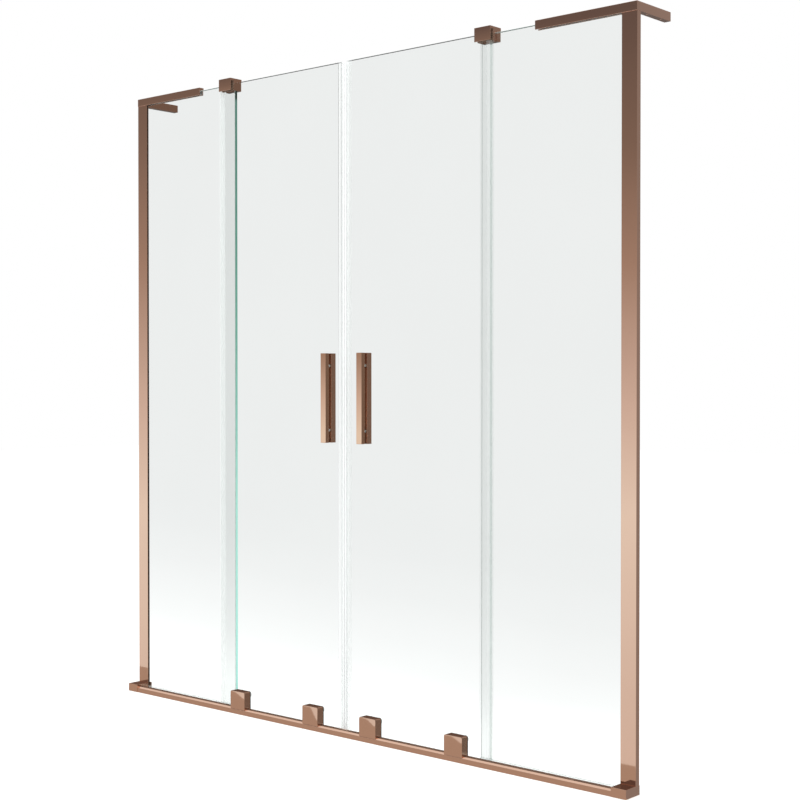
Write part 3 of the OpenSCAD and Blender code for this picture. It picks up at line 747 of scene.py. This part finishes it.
# End blocks: the feet of the wall profiles, polished and tinted metal like them. Each holds the
# rail's end by a steel dowel, takes the corner of the fixed pane in a slot and stands a little
# proud of the rail.
for side in SIDES:
    low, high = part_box("end_block_" + side)
    glass_low, glass_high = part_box("fixed_glass_" + side)
    wall, tip, outwards = outer(side, low, high)
    block = filled("end_foot_" + side, low, high)
    glass_end = outer(side, glass_low, glass_high)[0] + outwards * SLOT_PAST_GLASS
    slot = rectangle((glass_low.y - LINER, glass_low.z), (glass_high.y + LINER, high.z + MM))
    slot_ends = sorted((tip - outwards * MM, glass_end))
    hole_ends = sorted((tip - outwards * MM, tip + outwards * DOWEL_GRIP))
    cut_out(block, [drawn_out("slot", slot, "X", *slot_ends),
                    drill((0, dowel_z), DOWEL_R, *hole_ends, "X")])
    break_edges(block, EDGE_ROUND)
    dress(block, GOLD_BLOCK, "frame", "rose_gold_metal", "end_block_" + side)
    matt_inside(block, (low.x + MARGIN, glass_low.y - MM, glass_low.z - MM),
                (high.x - MARGIN, glass_high.y + MM, high.z - MARGIN))
give("rail_dowels", STEEL)


# Top guides: polished and tinted metal blocks clamped on the top corners of the fixed panes,
# closed over the pane's edge. The door pane slides in their open front slot between two dark
# plastic glides.
def crowned(name, middle_z, radius, tone=ROSE_GOLD):
    """Rose gold with its face very slightly crowned by the polishing, along its height."""
    material = rose_gold(name, (1, 1, 0.02), tone)
    tree = material.node_tree
    put, reckon = nodes_of(tree)
    height = put("SeparateXYZ", Vector=put("TexCoord").outputs["Object"]).outputs["Z"]
    squared = reckon("POWER", reckon("SUBTRACT", height, middle_z), 2.0)
    wheel_marks = next(node for node in tree.nodes if node.type == "BUMP")
    crown = put("Bump", Height=reckon("DIVIDE", squared, -2 * radius), Distance=1.0, Strength=1.0)
    tree.links.new(crown.outputs[0], wheel_marks.inputs["Normal"])
    return material


GUIDE_ROOF = 5 * MM
GLIDE_PLAY = 0.85 * MM
CLAMP_R = 2.5 * MM
CLAMP_PITCH = 20 * MM
CLAMP_RISE = 8.5 * MM
GUIDE_CROWN_R = 0.55
GUIDE_CROWN_RISE = 0.011
BED = moulded("pane_bed", (0.24, 0.13, 0.09), roughness=0.5, glow=0.5)
low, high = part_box("top_guide_left")
GOLD_GUIDE = crowned("rose_gold_guide", (low.z + high.z) / 2 + GUIDE_CROWN_RISE, GUIDE_CROWN_R)
for side in SIDES:
    low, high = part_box("top_guide_" + side)
    glass_low, glass_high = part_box("fixed_glass_" + side)
    door_low, door_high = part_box("door_glass_" + side)
    guide = filled("guide_block_" + side, low, high)
    door_slot = rectangle((door_low.y - GLIDE_PLAY, low.z - MM),
                          (door_high.y + GLIDE_PLAY, high.z - GUIDE_ROOF))
    pocket = rectangle((glass_low.y - LINER, low.z - MM),
                       (glass_high.y + LINER, glass_high.z + LINER))
    _, glass_end, outwards = outer(side, glass_low, glass_high)
    pocket_ends = sorted((glass_end - outwards * LINER, outer(side, low, high)[0] + outwards * MM))
    tools = [drawn_out("slot", door_slot, "X", low.x - MM, high.x + MM),
             drawn_out("pocket", pocket, "X", *pocket_ends)]
    tools += [drill((x, low.z + CLAMP_RISE), CLAMP_R, glass_high.y, high.y + MM)
              for x in two_at((low.x + high.x) / 2, CLAMP_PITCH)]
    cut_out(guide, tools)
    break_edges(guide, EDGE_ROUND)
    dress(guide, GOLD_GUIDE, "frame", "rose_gold_metal", "top_guide_" + side)
    matt_inside(guide, (low.x + MARGIN, door_low.y - MM, low.z + MARGIN),
                (high.x - MARGIN, glass_high.y + MM, high.z - MM))
    give("guide_liner_" + side, DARK_PLASTIC)
    liner = nodes["guide_liner_" + side]
    bed_y = glass_low.y - MM
    second_material(liner, BED, lambda face: (liner.matrix_world @ face.center).y > bed_y)
give("guide_screws", STEEL)


# Sliding doors: 8 mm clear toughened glass, drilled for the handle and for the bolts of the two
# carriages. The seals cover their upright edges, of which the right one looks a little grey.
DOOR_EDGE = clear_sheet("door_edge", (0.72, 0.77, 0.75, 1), EDGE_IOR, EDGE_ROUGHNESS)
DOOR_HOLE_R = 7.6 * MM
HANDLE_HOLE_R = 4.1 * MM
BOLT_PITCH = 24 * MM
HANDLE_PITCH = 144 * MM
PLACES = ("outer", "inner")
for side in SIDES:
    bolt_low, bolt_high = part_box("glass_bolts_" + side)
    bolt_z = (bolt_low.z + bolt_high.z) / 2
    holes = []
    for place in PLACES:
        low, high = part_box("carriage_{}_{}".format(side, place))
        holes += [(x, bolt_z, DOOR_HOLE_R) for x in two_at((low.x + high.x) / 2, BOLT_PITCH)]
    low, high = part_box("handle_front_" + side)
    holes += [((low.x + high.x) / 2, z, HANDLE_HOLE_R)
              for z in two_at((low.z + high.z) / 2, HANDLE_PITCH)]
    sheet = pane("door_pane_" + side, "door_glass_" + side, DOOR_EDGE, holes, ends=(1,))
    seat_glass(sheet, side + "_door", "door_glass_" + side)


# Carriages: polished and tinted metal blocks that stand over the rail and hide the rollers. Two
# steel bolts with flat heads, sunk in the glass, hold each of them to the door, on a thin rubber
# pad. The rollers are nylon and turn on steel bearings.
CARRIAGE_ROUND = 0.6 * MM
CORNER_R = 4 * MM
RAIL_GAP = 0.4 * MM
NOSE_GAP = 0.5 * MM
CAVITY_W = 6.6 * MM
CAVITY_LEN = 28 * MM
CAVITY_RISE = 13 * MM
AXLE_R = 2.5 * MM
AXLE_GRIP = 3 * MM
BOLT_R = 3 * MM
BOLT_GRIP = 9 * MM


def arched(low, high, radius, steps=8):
    """Rectangle whose two upper corners are round."""
    points = [(low[0], low[1]), (high[0], low[1])]
    for centre_x, start in ((high[0] - radius, 0), (low[0] + radius, 0.5 * math.pi)):
        for i in range(steps + 1):
            angle = start + 0.5 * math.pi * i / steps
            points.append((centre_x + radius * math.cos(angle),
                           high[1] - radius + radius * math.sin(angle)))
    return points


NYLON = moulded("white_nylon", (0.80, 0.80, 0.78), roughness=0.42)
rail_low, rail_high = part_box("bottom_rail")
for side in SIDES:
    bolt_low, bolt_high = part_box("glass_bolts_" + side)
    bolt_z = (bolt_low.z + bolt_high.z) / 2
    for place in PLACES:
        node = "carriage_{}_{}".format(side, place)
        low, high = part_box(node)
        roller_low, roller_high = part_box("roller_{}_{}".format(side, place))
        middle = (low.x + high.x) / 2
        roller_z = (roller_low.z + roller_high.z) / 2
        outline = arched((low.x, low.z), (high.x, high.z), CORNER_R)
        carriage = drawn_out("carriage_block_{}_{}".format(side, place), outline,
                             "Y", low.y, high.y)
        nose = rail_high.z - RAIL_BEVEL + NOSE_GAP
        over_rail = [(rail_low.y - MM, 0), (rail_high.y + RAIL_GAP, 0),
                     (rail_high.y + RAIL_GAP, rail_high.z + RAIL_GAP),
                     (rail_low.y + RAIL_BEVEL - RAIL_GAP / 2, rail_high.z + RAIL_GAP),
                     (rail_low.y, nose), (rail_low.y - MM, nose)]
        cavity = rectangle((middle - CAVITY_LEN / 2, 0),
                           (middle + CAVITY_LEN / 2, roller_z + CAVITY_RISE))
        tools = [drawn_out("saddle", over_rail, "X", low.x - MM, high.x + MM),
                 drawn_out("cavity", cavity, "Y", -CAVITY_W / 2, CAVITY_W / 2),
                 drill((middle, roller_z), AXLE_R, -CAVITY_W / 2 - AXLE_GRIP, high.y + MM)]
        tools += [drill((x, bolt_z), BOLT_R, high.y - BOLT_GRIP, high.y + MM)
                  for x in two_at(middle, BOLT_PITCH)]
        cut_out(carriage, tools)
        break_edges(carriage, CARRIAGE_ROUND)
        dress(carriage, GOLD_BLOCK, side + "_door", "rose_gold_metal", node)
        give("roller_{}_{}".format(side, place), NYLON)
        give("bearing_{}_{}".format(side, place), STEEL)
    give("carriage_pads_" + side, RUBBER)
    give("glass_bolts_" + side, STEEL)
    give("glass_bushes_" + side, NYLON)
    give("axles_" + side, STEEL)


# Seals of the doors: extruded profiles of clear vinyl, pushed on the edges of the glass. They
# hold a magnet strip at the meeting line, wipe the fixed panes at the outer edges and close the
# gap below.
def cut_lip(name):
    """Cut ends of a seal's clear lips: painted dark higher up for the dim room, painted white low
    down.
    """
    material, tree, shader = material_for(name)
    shade_upwards(tree, shader, [
        (0.33, 0.8), (0.49, 0.62), (0.71, 0.24), (0.845, 0.05), (0.965, 0.01)])
    grain(tree, shader, streaks(tree, (1, 1, 0.05), fineness=500.0), roughness=(0.4, 0.5))
    return material


MAGNET = moulded("white_magnet_strip", (0.88, 0.89, 0.89), roughness=0.5, fineness=700.0,
                 glow=0.22)
CLEAR_SEAL = vinyl_film("clear_vinyl", cover=0.16, glow=0.17)
LIP_END = cut_lip("cut_lip")
CLEAR_LIP = vinyl_film("clear_lip", cover=0.05, glow=0.17)

# The web of the left side seal has a painted glow, and that of the right one a painted shade.
WEBS = {"left": vinyl_film("bright_web", cover=0.2, glow=0.42),
        "right": vinyl_film("shaded_web", cover=0.12, glow=0.0, colour=(0.42, 0.53, 0.50))}
for side in SIDES:
    give("magnetic_seal_" + side, CLEAR_SEAL)
    give("side_seal_" + side, WEBS[side])
    second_material(nodes["side_seal_" + side], CLEAR_LIP,
                    lambda face: abs(face.normal.y) > FACING)
    give("drip_seal_" + side, FOOT_SEAL)
    give("magnet_strip_" + side, MAGNET)
left_seal = nodes["magnetic_seal_left"]
lip_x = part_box("magnetic_seal_left")[0].x + MARGIN / 2
second_material(left_seal, LIP_END, lambda face: (left_seal.matrix_world @ face.center).x < lip_x)


# Handles: a square metal bar, polished and tinted, on each face of the door. Two steel bolts join
# the pair through the glass, and their heads are sunk in the back bar.
HANDLE_ROUND = 0.6 * MM
HANDLE_BOLT_R = 2.5 * MM
HANDLE_HEAD_R = 4.5 * MM
HANDLE_HEAD_DEPTH = 5 * MM
HANDLE_THREAD = 7 * MM
GLASS_GAP = 0.15 * MM
BOLT_PLAY = 0.1 * MM
HANDLE_CROWN_R = 2.4
HANDLE_TONE = (0.755, 0.458, 0.325)
low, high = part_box("handle_front_left")
GOLD_HANDLE = crowned("rose_gold_handle", (low.z + high.z) / 2, HANDLE_CROWN_R, HANDLE_TONE)
for side in SIDES:
    body = side + "_door"
    low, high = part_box("handle_front_" + side)
    middle = (low.x + high.x) / 2
    heights = two_at((low.z + high.z) / 2, HANDLE_PITCH)
    front_bar = filled("handle_bar_front_" + side, low, high, back_gap=GLASS_GAP)
    cut_out(front_bar, [drill((middle, z), HANDLE_BOLT_R, high.y - HANDLE_THREAD, high.y + MM)
                        for z in heights])
    break_edges(front_bar, HANDLE_ROUND)
    dress(front_bar, GOLD_HANDLE, body, "rose_gold_metal", "handle_front_" + side)
    low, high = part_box("handle_back_" + side)
    back_bar = filled("handle_bar_back_" + side, low, high, front_gap=GLASS_GAP)
    head_y = high.y - HANDLE_HEAD_DEPTH
    shank_holes = [drill((middle, z), HANDLE_BOLT_R + BOLT_PLAY, low.y - MM, high.y)
                   for z in heights]
    head_holes = [drill((middle, z), HANDLE_HEAD_R + BOLT_PLAY, head_y, high.y + MM)
                  for z in heights]
    cut_out(back_bar, shank_holes + head_holes)
    break_edges(back_bar, HANDLE_ROUND)
    dress(back_bar, GOLD_UPRIGHT, body, "rose_gold_metal", "handle_back_" + side)
    give("handle_bolts_" + side, STEEL)
